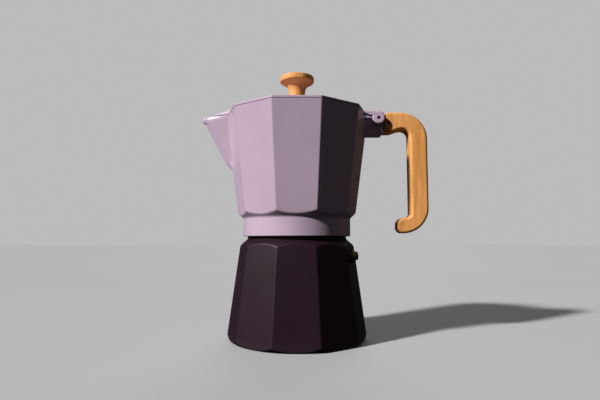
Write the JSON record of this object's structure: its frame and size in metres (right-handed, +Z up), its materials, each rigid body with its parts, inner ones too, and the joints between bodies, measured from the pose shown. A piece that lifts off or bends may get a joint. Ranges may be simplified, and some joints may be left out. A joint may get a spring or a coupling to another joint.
{
  "type": "moka pot",
  "caption": "Stove-top moka pot with a ten-sided boiler and screw-on upper chamber, hinged lid with turned wooden knob, spout, wooden side handle, funnel, filter and safety valve.",
  "frame": {"origin": "on the pot's vertical axis, at the flat underside that stands on the stove", "axes": "+Z up the pot's axis, +X towards the handle, -X towards the spout"},
  "size_m": [0.1733, 0.1044, 0.201],
  "materials": {
    "base_paint": "satin dark aubergine paint on cast aluminium",
    "upper_paint": "satin pale lilac paint on cast aluminium",
    "wood": "oiled light hardwood, sanded smooth",
    "steel": "plain turned steel",
    "brass": "machined",
    "aluminium": "spun and pressed, bare",
    "rubber": "matt, off-white"
  },
  "bodies": {
    "base": {"boiler": "base_paint", "valve_body": "brass", "valve_cap": "brass", "valve_spring": "steel", "funnel": "aluminium", "funnel_strainer": "aluminium"},
    "valve": {"valve_plunger": "brass"},
    "seal": {"gasket": "rubber", "filter_plate": "aluminium"},
    "top": {"upper_chamber": "upper_paint", "riser_column": "aluminium", "handle": "wood", "handle_pin": "steel", "hinge_pin": "steel"},
    "lid": {"lid": "upper_paint", "knob": "wood", "knob_screw": "steel", "knob_washer": "steel"}
  },
  "joints": [
    {"name": "top_lift", "type": "slide", "parent": "base", "child": "seal", "axis": [0, 0, 1], "range_m": [0, 0.0121]},
    {"name": "top_turn", "type": "hinge", "parent": "seal", "child": "top", "pos_m": [0, 0, 0], "axis": [0, 0, 1], "range_deg": [0, 1080]},
    {"name": "lid_hinge", "type": "hinge", "parent": "top", "child": "lid", "pos_m": [0.0619, 0, 0.1657], "axis": [0, 1, 0], "range_deg": [0, 95]},
    {"name": "valve_slide", "type": "slide", "parent": "base", "child": "valve", "axis": [0.943, -0.3064, 0.1298], "range_m": [0, 0.0015], "stiffness_N_per_m": 1500, "springref_m": -0.002, "deforming": ["valve_spring"]}
  ],
  "couplings": [
    {"joint": "top_lift", "follows": "top_turn", "m_per_rad": 0.00063662}
  ]
}
